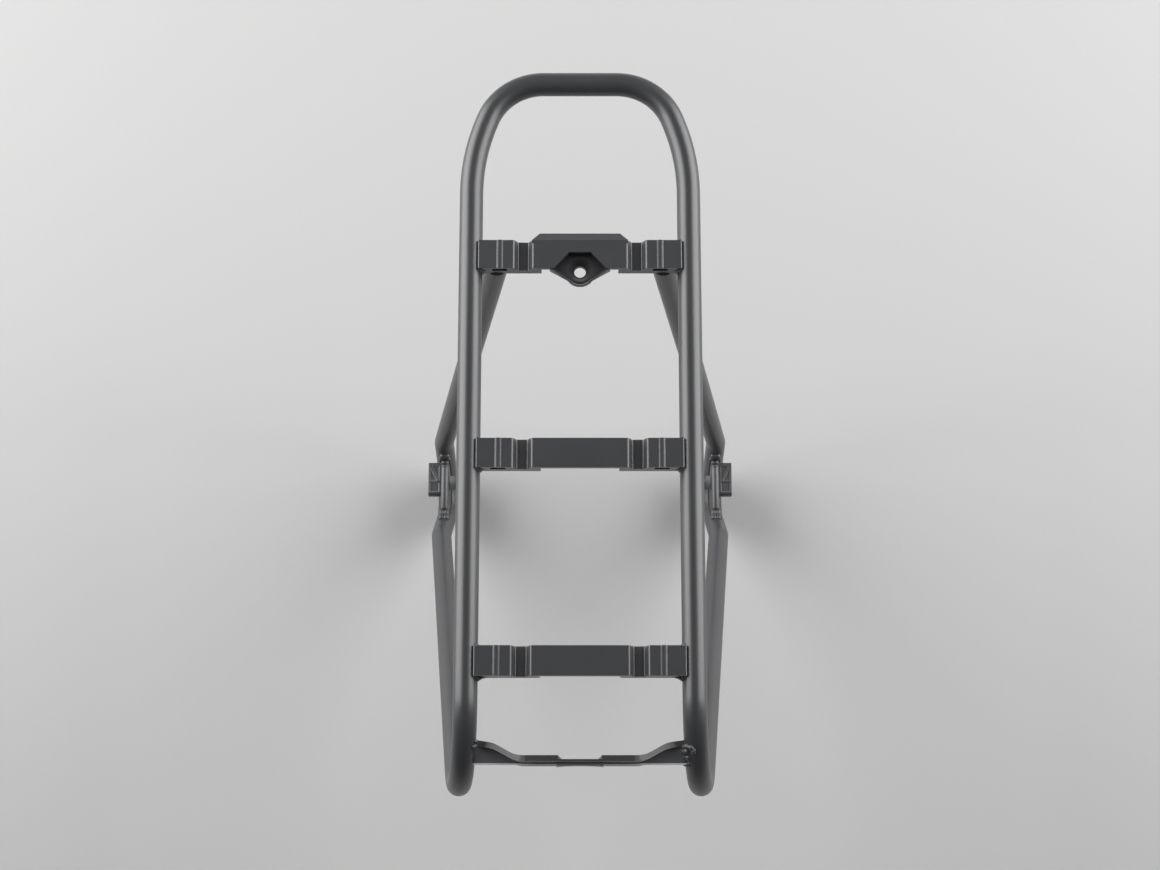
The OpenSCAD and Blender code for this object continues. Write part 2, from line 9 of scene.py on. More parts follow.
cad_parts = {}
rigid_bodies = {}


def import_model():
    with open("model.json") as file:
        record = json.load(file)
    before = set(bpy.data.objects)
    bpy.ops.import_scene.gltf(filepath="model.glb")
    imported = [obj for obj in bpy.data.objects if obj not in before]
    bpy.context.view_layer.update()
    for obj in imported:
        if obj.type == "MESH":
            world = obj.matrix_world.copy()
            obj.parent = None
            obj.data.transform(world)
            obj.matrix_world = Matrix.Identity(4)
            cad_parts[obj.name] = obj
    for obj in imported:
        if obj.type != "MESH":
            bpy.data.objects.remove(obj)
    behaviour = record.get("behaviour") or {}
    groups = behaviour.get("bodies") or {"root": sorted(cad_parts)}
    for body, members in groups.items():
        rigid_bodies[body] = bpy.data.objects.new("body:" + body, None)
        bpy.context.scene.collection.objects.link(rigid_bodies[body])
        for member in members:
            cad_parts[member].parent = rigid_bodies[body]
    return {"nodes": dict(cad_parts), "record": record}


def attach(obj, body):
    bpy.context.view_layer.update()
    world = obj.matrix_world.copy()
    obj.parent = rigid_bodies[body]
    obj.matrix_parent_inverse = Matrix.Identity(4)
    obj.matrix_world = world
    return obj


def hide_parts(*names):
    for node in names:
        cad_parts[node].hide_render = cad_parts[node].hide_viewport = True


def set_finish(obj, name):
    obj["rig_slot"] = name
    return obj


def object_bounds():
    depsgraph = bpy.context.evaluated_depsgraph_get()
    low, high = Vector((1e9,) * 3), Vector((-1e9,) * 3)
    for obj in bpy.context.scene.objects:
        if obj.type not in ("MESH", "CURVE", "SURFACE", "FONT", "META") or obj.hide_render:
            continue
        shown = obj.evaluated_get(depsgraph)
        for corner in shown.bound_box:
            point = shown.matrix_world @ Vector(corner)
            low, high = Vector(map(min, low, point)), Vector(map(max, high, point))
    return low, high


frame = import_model()
cad_low, cad_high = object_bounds()
MM = 0.001

# ---- The carrier's own measures, in millimetres, as the frame has them ----

TUBE_R = 7.0
RAIL_X = 65.0
DECK_Z = 367.5
FRONT_Y = 208.5
REAR_Y = -208.5
LOOP_TAPER = 45.7
LOOP_CORNER_R = 36.0
SHOULDER_R = 125.0
REAR_BEND_R = 45.4
# How far a rear leg leans out for each millimetre that it drops
REAR_LEG_LEAN = 0.116
FOOT_X = 99.0
FOOT_BEND_R = 20.0
KNEE_R = 26.0
BUTT_BELOW_KNEE = 30
LEG_RUN_ON = 6

# Crossbars. BAR_Z is their lower face and BAR_Y their middles, from front to rear.
BAR_H = 10.2
BAR_W = 17.5
BAR_RISE = 7.5
BAR_Z = DECK_Z + BAR_RISE - BAR_H
BAR_TOP = BAR_Z + BAR_H
BAR_Y = (97.8, -22.9, -143.6)
SLOT_X = 47.6

# The front bar's housing: its rim under the bar's top, its reach behind the bar, and its hole's place
# and its pocket's half width from the bar's middle
HOUSING_STEP = 0.8
HOUSING_REACH = 11.35
STAY_Y = -8.2
POCKET_HALF = 17

# The light bracket's wall: its top under the tubes' centre line, and how the top falls to each side
WALL_DROP = 3.0
WALL_FALL_X = 33.0
WALL_FALL_RUN = 33.0
WALL_FALL = 11.0

# Feet: the plate inside the V, the cast block outside it, and the M6 screw through both
PLATE_T = 5.8
PLATE_TOP = 51.5
BLOCK_X = FOOT_X + PLATE_T / 2
BOLT_Y = 35.0
BOLT_Z = 36.0
HEAD_SEAT = 2.0
WASHER_T = 1.2
SPACER_L = 9.5
NUT_T = 5.0
BOLT_END = 2.0

# Corners of the tubes' centre lines, on the right side. FOOT_C is the middle of the foot's bend.
LOOP_CORNER = Vector((46.4, FRONT_Y, DECK_Z))
SHOULDER = Vector((RAIL_X, FRONT_Y - LOOP_TAPER, DECK_Z))
REAR_KNEE = Vector((FOOT_X, -12.6, 75.3))
FRONT_KNEE = Vector((FOOT_X, 59.6, 61.0))
LEG_TOP = Vector((49.3, 95.0, BAR_Z))
FOOT_C = (30.3, 27.0)

# ---- Mesh settings ----

# Points of a CAD mesh nearer than this, in metres, are one point
MERGE = 2e-6
# Degrees between two faces: flat enough to merge, sharp enough to round over, sharing a normal
FLAT_ANGLE = 1.0
EDGE_ANGLE = 31
NORMAL_ANGLE = 27
EDGE_SEGMENTS = 2
WIDE_SEGMENTS = 4
TUBE_SIDES = 48
TURNED_SIDES = 72
KNURL_DEPTH = 0.14
# Degrees between the points of a bend, and millimetres between those of a straight run
BEND_STEP = 3.0
STRAIGHT_STEP = 12.0
BEAD_SIDES = 16
BEAD_STEP = 0.3
# Points from one value of a bead's wandering width to the next
WANDER_RUN = 8


def acosd(v):
    return math.degrees(math.acos(v))


def corner_of_rear_bend():
    """Where the centre lines of a rail and its rear leg would meet."""
    drop = math.hypot(FOOT_X - RAIL_X, DECK_Z - REAR_KNEE.z)
    to_knee = (REAR_KNEE.y - REAR_Y - REAR_BEND_R, REAR_BEND_R - drop)
    turn = 270 + math.degrees(math.atan2(to_knee[1], to_knee[0])) - acosd(REAR_BEND_R / math.hypot(*to_knee))
    y = REAR_Y + REAR_BEND_R - REAR_BEND_R * math.tan(math.radians(turn / 2))
    return Vector((RAIL_X, y, DECK_Z))


def foot_angles():
    """Where the foot's bend meets the rear arm and the front arm, in degrees round FOOT_C."""
    rear = (REAR_KNEE.y - FOOT_C[0], REAR_KNEE.z - FOOT_C[1])
    front = (FRONT_KNEE.y - FOOT_C[0], FRONT_KNEE.z - FOOT_C[1])
    a = math.degrees(math.atan2(rear[1], rear[0])) + acosd(FOOT_BEND_R / math.hypot(*rear)) - 360
    b = math.degrees(math.atan2(front[1], front[0])) - acosd(FOOT_BEND_R / math.hypot(*front))
    return a, b


def corner_of_foot_bend():
    """Where the centre lines of a foot's two arms would meet."""
    middle = math.radians((REAR_TOUCH + FRONT_TOUCH) / 2)
    reach = FOOT_BEND_R / math.cos(math.radians((FRONT_TOUCH - REAR_TOUCH) / 2))
    return Vector((FOOT_X, FOOT_C[0] + reach * math.cos(middle), FOOT_C[1] + reach * math.sin(middle)))


REAR_TOUCH, FRONT_TOUCH = foot_angles()
REAR_CORNER = corner_of_rear_bend()
FOOT_CORNER = corner_of_foot_bend()
BUTT = REAR_KNEE + BUTT_BELOW_KNEE * (FOOT_CORNER - REAR_KNEE).normalized()

# ---- Small mesh tools ----


def new_piece(name, bm, node, slot="tube_paint", smooth_angle=35):
    """Smooth-shaded object that stands for a CAD node. Sharp edges are those over smooth_angle degrees."""
    mesh = bpy.data.meshes.new(name)
    bmesh.ops.recalc_face_normals(bm, faces=bm.faces)
    bm.to_mesh(mesh)
    bm.free()
    obj = bpy.data.objects.new(name, mesh)
    bpy.context.scene.collection.objects.link(obj)
    for p in mesh.polygons:
        p.use_smooth = True
    mesh.set_sharp_from_angle(angle=math.radians(smooth_angle))
    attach(obj, "root")
    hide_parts(node)
    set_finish(obj, slot)
    return obj


def area_normals(mesh):
    """Smooth normals that lean on the larger faces, so that flats stay flat next to rounded edges."""
    limit = math.cos(math.radians(NORMAL_ANGLE))
    around = {}
    for p in mesh.polygons:
        for v in p.vertices:
            around.setdefault(v, []).append((p.normal.copy(), p.area))
    normals = [None] * len(mesh.loops)
    for p in mesh.polygons:
        for k in p.loop_indices:
            total = Vector((0, 0, 0))
            for n, area in around[mesh.loops[k].vertex_index]:
                if n.dot(p.normal) > limit:
                    total += n * area
            normals[k] = total.normalized() if total.length > 0 else p.normal
    mesh.normals_split_custom_set(normals)


def path_points(corners, radii):
    """Points in millimetres along straight runs with a bend at each inner corner."""
    pts = [corners[0].copy()]

    def straight_to(p):
        a = pts[-1]
        n = max(1, int((p - a).length / STRAIGHT_STEP))
        for i in range(1, n + 1):
            pts.append(a.lerp(p, i / n))

    for i in range(1, len(corners) - 1):
        into = (corners[i] - corners[i - 1]).normalized()
        out = (corners[i + 1] - corners[i]).normalized()
        turn = into.angle(out)
        back = radii[i] * math.tan(turn / 2)
        straight_to(corners[i] - into * back)
        axis = into.cross(out).normalized()
        centre = corners[i] - into * back + axis.cross(into) * radii[i]
        arm = pts[-1] - centre
        n = max(2, int(math.degrees(turn) / BEND_STEP))
        for k in range(1, n + 1):
            pts.append(centre + Matrix.Rotation(turn * k / n, 3, axis) @ arm)
    straight_to(corners[-1])
    return pts


def skin(bm, rings):
    """Faces between each ring of points and the next."""
    count = len(rings[0])
    for a, b in zip(rings, rings[1:]):
        for k in range(count):
            after = (k + 1) % count
            bm.faces.new((a[k], a[after], b[after], b[k]))


def sweep(bm, pts, radius_at, sides):
    """Round section carried along pts (mm). radius_at(i, angle) is in mm. Both ends are capped."""
    rings = []
    tangent = (pts[1] - pts[0]).normalized()
    normal = tangent.orthogonal().normalized()
    for i, p in enumerate(pts):
        if i == 0:
            t = (pts[1] - pts[0]).normalized()
        elif i == len(pts) - 1:
            t = (pts[-1] - pts[-2]).normalized()
        else:
            t = ((pts[i + 1] - p).normalized() + (p - pts[i - 1]).normalized()).normalized()
        turn = tangent.rotation_difference(t)
        normal = (turn @ normal).normalized()
        tangent = t
        other = t.cross(normal)
        ring = []
        for k in range(sides):
            a = 2 * math.pi * k / sides
            r = radius_at(i, a)
            ring.append(bm.verts.new((p + (normal * math.cos(a) + other * math.sin(a)) * r) * MM))
        rings.append(ring)
    skin(bm, rings)
    bm.faces.new(reversed(rings[0]))
    bm.faces.new(rings[-1])


def tube(bm, corners, radii):
    """The carrier's tube along a line with these corners and bend radii."""
    sweep(bm, path_points(corners, radii), lambda i, a: TUBE_R, TUBE_SIDES)


def on_side(v, side):
    """The place v of the right side (side 1), or its mirror image on the left (side -1)."""
    return Vector((side * v.x, v.y, v.z))


def hoop_and_legs():
    half = [BUTT, REAR_KNEE, REAR_CORNER, SHOULDER, LOOP_CORNER]
    radii = [0, KNEE_R, REAR_BEND_R, SHOULDER_R, LOOP_CORNER_R]
    bm = bmesh.new()
    tube(bm, half + [on_side(v, -1) for v in reversed(half)], radii + radii[::-1])
    new_piece("hoop_tube", bm, "deck_hoop")
    up = (LEG_TOP - FRONT_KNEE).normalized()
    leg = [BUTT, FOOT_CORNER, FRONT_KNEE, LEG_TOP + up * LEG_RUN_ON]
    just_inside_bar = (0, 0, (BAR_Z + 0.03) * MM)
    for name, side in (("right", 1), ("left", -1)):
        bm = bmesh.new()
        tube(bm, [on_side(v, side) for v in leg], [0, FOOT_BEND_R, KNEE_R, 0])
        cut = bmesh.ops.bisect_plane(
            bm, geom=bm.verts[:] + bm.edges[:] + bm.faces[:], plane_co=just_inside_bar,
            plane_no=(0, 0, 1), clear_outer=True,
        )["geom_cut"]
        bmesh.ops.contextual_create(bm, geom=[e for e in cut if isinstance(e, bmesh.types.BMEdge)])
        new_piece(f"{name}_leg_tube", bm, f"{name}_front_leg")


def cad_mesh(node):
    """The CAD node's mesh with its triangles merged into flat faces."""
    bm = bmesh.new()
    bm.from_mesh(frame["nodes"][node].data)
    bmesh.ops.remove_doubles(bm, verts=bm.verts, dist=MERGE)
    bmesh.ops.dissolve_limit(bm, angle_limit=math.radians(FLAT_ANGLE), verts=bm.verts, edges=bm.edges)
    return bm


def round_over(bm, angle, width, segments, test=None):
    """Rounds the edges sharper than angle whose two ends pass the test. Gives the new faces.

    The overlap clamp narrows all these edges alike, to what the tightest of them has room for. So
    width is the most that they can get, and on a finely cut mesh they get far less.
    """
    limit = math.radians(angle)
    edges = [e for e in bm.edges if len(e.link_faces) == 2 and e.calc_face_angle(0) > limit]
    if test:
        edges = [e for e in edges if all(test(v.co / MM) for v in e.verts)]
    return bmesh.ops.bevel(
        bm, geom=edges, offset=width * MM, offset_type="OFFSET", segments=segments, profile=0.5,
        affect="EDGES", clamp_overlap=True,
    )["faces"]


def softened(name, node, slot, width, recess=None, shape=None, wide=None):
    """The CAD node's own shape with its edges rounded over, by width at most.

    Of two functions of the place in mm, one is how much painted shade a point gets, and shape is
    where the point moves to. wide is (test, width) for the edges that are rounded further than the
    rest. An attribute is 1 at the points inside a rounding, where the paint has a painted highlight.
    """
    bm = cad_mesh(node)
    if shape:
        for v in bm.verts:
            v.co = shape(v.co / MM) * MM
    rounded = set()
    if wide:
        rounded.update(round_over(bm, EDGE_ANGLE, wide[1], WIDE_SEGMENTS, wide[0]))
    rounded.update(round_over(bm, EDGE_ANGLE, width, EDGE_SEGMENTS))
    # Points inside a rounding get the painted highlight in the paint
    in_rounding = [float(all(f in rounded for f in v.link_faces)) for v in bm.verts]
    obj = new_piece(name, bm, node, slot, smooth_angle=180)
    area_normals(obj.data)
    wear = obj.data.attributes.new("wear", "FLOAT", "POINT")
    for v in obj.data.vertices:
        wear.data[v.index].value = in_rounding[v.index]
    # How much painted shade each point gets
    if recess:
        shade = obj.data.attributes.new("recess", "FLOAT", "POINT")
        for v in obj.data.vertices:
            shade.data[v.index].value = recess(v.co / MM)


def housing_draft(p):
    """The walls round the front bar's pocket lean in as they go down, as a casting's do."""
    y = p.y - BAR_Y[0]
    drop = BAR_TOP - HOUSING_STEP - p.z
    behind = -BAR_W / 2 - y
    near_hole = math.hypot(p.x, y - STAY_Y) < 8.0
    if behind < 0.02 or drop <= 0 or near_hole:
        return p.copy()
    full_at = 6.0
    lean = min(drop, full_at) / full_at * min(1.0, behind / HOUSING_REACH)
    return Vector((p.x * (1 - 0.2 * lean), p.y + 2.1 * lean, p.z))


def bar_recess_shade(p):
    """Painted shade: 1 inside a crossbar's slots, 0 elsewhere."""
    y = min((p.y - b for b in BAR_Y), key=abs)
    across = abs(abs(p.x) - SLOT_X) < 4.6
    along = -BAR_W / 2 + 0.7 < y < 0.0
    return 1.0 if across and along and BAR_Z + 4.4 < p.z < BAR_TOP - 1.2 else 0.0


def front_bar_recess_shade(p):
    """Painted shade: 1 on the front bar's pocket floor and walls, 0.25 round its hole, else as in slots."""
    y = p.y - BAR_Y[0]
    narrowing = max(0.0, (y + 8.7)) * 0.9
    across = abs(p.x) < POCKET_HALF and abs(p.x) < POCKET_HALF - narrowing + 0.3
    if across and -19.0 < y < 1.4 and BAR_Z - 1.0 < p.z < BAR_TOP - 2.0:
        return 1.0 if math.hypot(p.x, y - STAY_Y) > 7.6 else 0.25
    return bar_recess_shade(p)


def pocket_rim(p):
    """True on the rim of the front bar's pocket, but not in line with the bar's own sides."""
    y = p.y - BAR_Y[0]
    on_rim = abs(p.x) < 18.2 and -20.6 < y < 1.6 and p.z > BAR_TOP - 1.0
    return on_rim and abs(abs(y) - BAR_W / 2) > 0.05


def bracket_wall_top(p):
    """True on the top edges of the light bracket's curved wall."""
    fall = max(0.0, (abs(p.x) - WALL_FALL_X) / WALL_FALL_RUN) * WALL_FALL
    return 24.0 < abs(p.x) < 64.0 and abs(p.z - (DECK_Z - WALL_DROP - fall)) < 0.8


def lathe(name, node, slot, outline, side):
    """Turned part about the foot's bolt axis.

    outline lists (x, radius) in mm from one end to the other. A third value is the distance from
    the axis to a hexagon's flats, or "knurl". The outline is closed when its ends are the same.
    """
    bm = bmesh.new()
    rings = []
    for x, r, *extra in outline:
        ring = []
        for k in range(TURNED_SIDES):
            a = 2 * math.pi * k / TURNED_SIDES
            rr = r
            if extra and extra[0] == "knurl":
                rr = r - (KNURL_DEPTH if k % 2 else 0)
            elif extra:
                sector = ((a + math.pi / 6) % (math.pi / 3)) - math.pi / 6
                rr = min(r, extra[0] / math.cos(sector))
            place = Vector((side * x, BOLT_Y + rr * math.cos(a), BOLT_Z + rr * math.sin(a)))
            ring.append(bm.verts.new(place * MM))
        rings.append(ring)
    closed = tuple(outline[0]) == tuple(outline[-1])
    if closed:
        for v in rings[-1]:
            bm.verts.remove(v)
        rings[-1] = rings[0]
    skin(bm, rings)
    if not closed:
        bm.faces.new(rings[0])
        bm.faces.new(rings[-1])
    new_piece(name, bm, node, slot, smooth_angle=25)


def fixings():
    """Socket head screw, washer, stepped spacer and nut of each foot."""
    seat = BLOCK_X + HEAD_SEAT
    head = seat + WASHER_T
    spacer = FOOT_X - PLATE_T / 2 - SPACER_L
    nut = spacer - NUT_T
    tip = nut - BOLT_END
    thread = [(tip + 0.8 + 0.25 * i, 3.0 if i % 4 in (0, 1) else 2.62) for i in range(9)]
    screw = [
        (tip, 2.2), *thread, (nut + 1.2, 3.0), (head, 3.0), (head, 4.8), (head + 0.2, 5.0),
        (head + 0.7, 5.0), (head + 0.9, 5.0, "knurl"), (head + 4.9, 5.0, "knurl"), (head + 5.1, 5.0),
        (head + 5.4, 5.0), (head + 5.8, 4.75), (head + 6.0, 4.4), (head + 6.0, 3.25),
        (head + 5.75, 2.9, 2.5), (head + 3.0, 2.9, 2.5),
    ]
    washer = [
        (seat, 3.2), (seat, 6.05), (seat + 0.15, 6.2), (seat + 1.05, 6.2), (head, 6.0),
        (head, 3.35), (seat + 1.1, 3.2), (seat, 3.2),
    ]
    step = [
        (spacer, 3.2), (spacer, 6.7), (spacer + 0.3, 7.0), (spacer + 2.2, 7.0), (spacer + 2.6, 6.75),
        (spacer + 5.3, 5.1), (spacer + 5.7, 5.0), (spacer + 9.2, 5.0), (spacer + SPACER_L, 4.8),
        (spacer + SPACER_L, 3.2), (spacer, 3.2),
    ]
    hexagon = [
        (nut, 3.4), (nut, 4.8), (nut + 0.25, 5.25, 5.0), (nut + 0.6, 5.8, 5.0),
        (spacer - 0.6, 5.8, 5.0), (spacer - 0.25, 5.25, 5.0), (spacer, 4.8), (spacer, 3.4),
        (spacer - 0.35, 3.06), (nut + 0.35, 3.06), (nut, 3.4),
    ]
    for where, side in (("left", -1), ("right", 1)):
        lathe(f"{where}_screw", f"{where}_mount_bolt", "bolt_steel", screw, side)
        lathe(f"{where}_washer", f"{where}_bolt_washer", "washer_steel", washer, side)
        lathe(f"{where}_spacer", f"{where}_mount_spacer", "spacer_steel", step, side)
        lathe(f"{where}_nut", f"{where}_mount_nut", "nut_steel", hexagon, side)


# ---- Weld beads ----


def resampled(pts):
    """The line through pts, with a point at every BEAD_STEP."""
    out = [pts[0].copy()]
    left = BEAD_STEP
    for a, b in zip(pts, pts[1:]):
        length = (b - a).length
        done = 0.0
        while length - done >= left:
            done += left
            out.append(a.lerp(b, done / length))
            left = BEAD_STEP
        left -= length - done
    out.append(pts[-1].copy())
    return out


def bead(bm, pts, radius, pitch=1.5, ripple=0.16, wander=0.06):
    """Weld bead along pts: overlapping ripples, a width that wanders a little, and round ends."""
    pts = resampled(pts)
    phase = random.random()
    slow = [random.uniform(-wander, wander) for _ in range(len(pts) // WANDER_RUN + 3)]
    count = len(pts)

    def radius_at(i, a):
        wave = (i * BEAD_STEP / pitch + phase + 0.14 * math.cos(a)) % 1
        s = i / WANDER_RUN
        k = int(s)
        drift = slow[k] + (slow[k + 1] - slow[k]) * (s - k)
        end = min(i, count - 1 - i) * BEAD_STEP
        cap = 1.0 if end >= radius else math.sqrt(max(0.03, 1 - (1 - end / radius) ** 2))
        return radius * (1 - ripple * wave * wave + drift) * cap

    sweep(bm, pts, radius_at, BEAD_SIDES)


def crossbar_beads():
    """A low fillet and a fine rippled bead in each corner between a crossbar and a rail."""
    bm = cad_mesh("crossbar_welds")
    round_over(bm, 40, 0.5, 3)
    r = TUBE_R + 0.1
    for side in (-1, 1):
        for i, y in enumerate(BAR_Y):
            for end in (-1, 1):
                behind_rear_bar = i == 2 and end < 0
                bead_y = y + end * (BAR_W / 2 + 0.25)
                pts = []
                for k in range(-4, 10):
                    a = math.radians(5.2 * k)
                    pts.append(Vector((side * (RAIL_X - r * math.cos(a)), bead_y, DECK_Z + r * math.sin(a))))
                bead(bm, pts, 1.5 if behind_rear_bar else 1.05)
    new_piece("crossbar_beads", bm, "crossbar_welds", "weld_paint")


def leg_top_beads():
    """A bead round the top of each front leg, just under the front crossbar."""
    bm = bmesh.new()
    for side in (-1, 1):
        top = on_side(LEG_TOP, side)
        up = (top - on_side(FRONT_KNEE, side)).normalized()
        u = up.orthogonal().normalized()
        v = up.cross(u)
        pts = []
        for k in range(61):
            a = math.radians(6.1 * k)
            p = top + (u * math.cos(a) + v * math.sin(a)) * (TUBE_R - 0.4)
            pts.append(p + up * ((BAR_Z - 0.6 - p.z) / up.z))
        bead(bm, pts, 0.7, pitch=1.3)
    new_piece("leg_top_beads", bm, "front_leg_welds", "weld_paint")


def on_bend(x, y, lift):
    """Place on the upper side of the right rear bend's tube, lift mm above its surface."""
    along = y - (REAR_Y + REAR_BEND_R)
    drop = REAR_BEND_R - math.sqrt(REAR_BEND_R ** 2 - along ** 2)
    across = x - RAIL_X - REAR_LEG_LEAN * drop
    r = REAR_BEND_R + math.sqrt(max(0.0, TUBE_R ** 2 - across ** 2)) + lift
    return Vector((x, y, DECK_Z - REAR_BEND_R + math.sqrt(r * r - along ** 2)))


def bracket_beads():
    """Lumpy beads where the bracket's web and wall ends run on to the rear bends."""
    bm = bmesh.new()
    # For each side: the (x, y) places that a bead runs through, its radius, and its lift
    runs = {
        -1: [
            ([(58.8, -187.6), (59.8, -188.2)], 1.2, 0.3),
            ([(59.0, -190.4), (60.2, -190.9), (61.2, -191.2)], 1.4, 0.3),
            ([(59.4, -196.0), (61.4, -196.3), (63.6, -197.0)], 0.8, -0.35),
            ([(59.6, -198.2), (61.4, -198.6), (63.2, -199.3)], 0.8, -0.35),
        ],
        1: [
            ([(58.8, -191.0), (60.6, -190.8), (62.6, -191.6), (64.0, -193.2), (64.2, -195.0)], 1.7, 0.0),
            ([(58.9, -193.4), (60.6, -193.2), (62.2, -194.4)], 2.1, -0.2),
            ([(59.2, -195.8), (61.0, -196.6), (63.0, -196.6)], 2.1, -0.5),
            ([(59.6, -198.8), (61.6, -199.8), (63.4, -199.6)], 1.9, -1.0),
        ],
    }
    for side, lines in runs.items():
        for places, radius, lift in lines:
            pts = [on_side(on_bend(x, y, lift), side) for x, y in places]
            bead(bm, pts, radius, pitch=1.9, ripple=0.26, wander=0.12)
    new_piece("bracket_beads", bm, "bracket_welds", "weld_paint")


def along_foot(dist, top):
    """Points down the rear arm's inner side, round the bend and up the front arm.

    Each is (y, z) in the foot's plane, dist mm inside the tube's centre line. The ends are at the
    height top.
    """
    c = Vector(FOOT_C)
    r = FOOT_BEND_R - dist
    ends = []
    for touch, knee in ((REAR_TOUCH, REAR_KNEE), (FRONT_TOUCH, FRONT_KNEE)):
        n = Vector((math.cos(math.radians(touch)), math.sin(math.radians(touch))))
        d = (Vector((knee.y, knee.z)) - Vector((FOOT_CORNER.y, FOOT_CORNER.z))).normalized()
        start = c + n * r
        ends.append(start + d * ((top - start.y) / d.y))
    arc = []
    for k in range(25):
        a = math.radians(REAR_TOUCH + (FRONT_TOUCH - REAR_TOUCH) * k / 24)
        arc.append(c + Vector((math.cos(a), math.sin(a))) * r)
    return [ends[0], *arc, ends[1]]


def foot_beads():
    """Beads down both sides of each plate, lumps over its front end and a flat patch at its rear end."""
    bm = bmesh.new()
    half = PLATE_T / 2
    side_line = along_foot(6.3, PLATE_TOP - 1.0)
    rear_high, *_, front_high = along_foot(6.7, PLATE_TOP + 4.6)
    rear_level, *_, front_level = along_foot(6.7, PLATE_TOP)
    for side in (-1, 1):
        x0 = side * FOOT_X
        for edge in (-1, 1):
            x = x0 + edge * (half + 0.3)
            bead(bm, [Vector((x, p.x, p.y)) for p in side_line], 1.3)
        for offset, radius, back in ((-2.7, 2.0, 2.4), (0.0, 1.6, 1.2), (2.7, 2.0, 2.4)):
            bead(bm, [
                Vector((x0 + offset, front_level.x - back, PLATE_TOP - 0.6)),
                Vector((x0 + offset * 0.8, front_level.x - 0.2, PLATE_TOP + 0.9)),
                Vector((x0 + offset * 0.35, front_high.x, front_high.y)),
            ], radius, pitch=1.7, ripple=0.2, wander=0.1)
        for offset in (-1.7, 1.7):
            bead(bm, [
                Vector((x0 + offset, rear_level.x + 6.2, PLATE_TOP - 1.2)),
                Vector((x0 + offset, rear_level.x + 2.6, PLATE_TOP - 0.2)),
                Vector((x0 + offset, rear_high.x, rear_high.y - 0.4)),
            ], 2.1, pitch=3.1, ripple=0.05)
    new_piece("foot_beads", bm, "foot_plate_welds", "weld_paint")


def gusset(where, side):
    """Plate that fills the V of a foot, with a fully rounded top edge that dips near both ends."""
    bm = bmesh.new()
    half = PLATE_T / 2
    # (along, depth) of the points that make one dip
    dip = (
        (1.9, 0.0), (1.2, 0.25), (0.7, 0.85), (0.0, 1.15), (-0.7, 0.85), (-1.2, 0.25), (-1.9, 0.0),
    )
    rings = []
    for k in range(-9, 10):
        a = math.radians(10 * k)
        x = side * (FOOT_X + half * math.sin(a))
        top = PLATE_TOP - half * (1 - math.cos(a)) * 0.92
        outline = along_foot(6.0, top)
        for middle in (FOOT_C[0] + 14.2, FOOT_C[0] - 19.4):
            outline += [Vector((middle + along, top - depth)) for along, depth in dip]
        rings.append([bm.verts.new(Vector((x, p.x, p.y)) * MM) for p in outline])
    skin(bm, rings)
    bm.faces.new(rings[0])
    bm.faces.new(rings[-1])
    new_piece(f"{where}_gusset", bm, f"{where}_foot_plate", "plate_paint", smooth_angle=50)


random.seed(41)
hoop_and_legs()
softened(
    "front_bar", "front_crossbar", "bar_paint", 0.4,
    recess=front_bar_recess_shade, shape=housing_draft, wide=(pocket_rim, 0.6),
)
softened("middle_bar", "middle_crossbar", "bar_paint", 0.4, recess=bar_recess_shade)
softened("rear_bar", "rear_crossbar", "bar_paint", 0.4, recess=bar_recess_shade)
softened("light_bracket", "rear_light_bracket", "bracket_paint", 0.5, wide=(bracket_wall_top, 1.4))
for where, side in (("left", -1), ("right", 1)):
    gusset(where, side)
    softened(f"{where}_lug_block", f"{where}_mount_block", "block_paint", 0.6)
fixings()
crossbar_beads()
leg_top_beads()
bracket_beads()
foot_beads()

# ---- Materials ----

# Sockets of a colour Mix node, by number, because several of them share a name
MIX_FACTOR = 0
MIX_UNDER = 6
MIX_OVER = 7
MIX_RESULT = 2


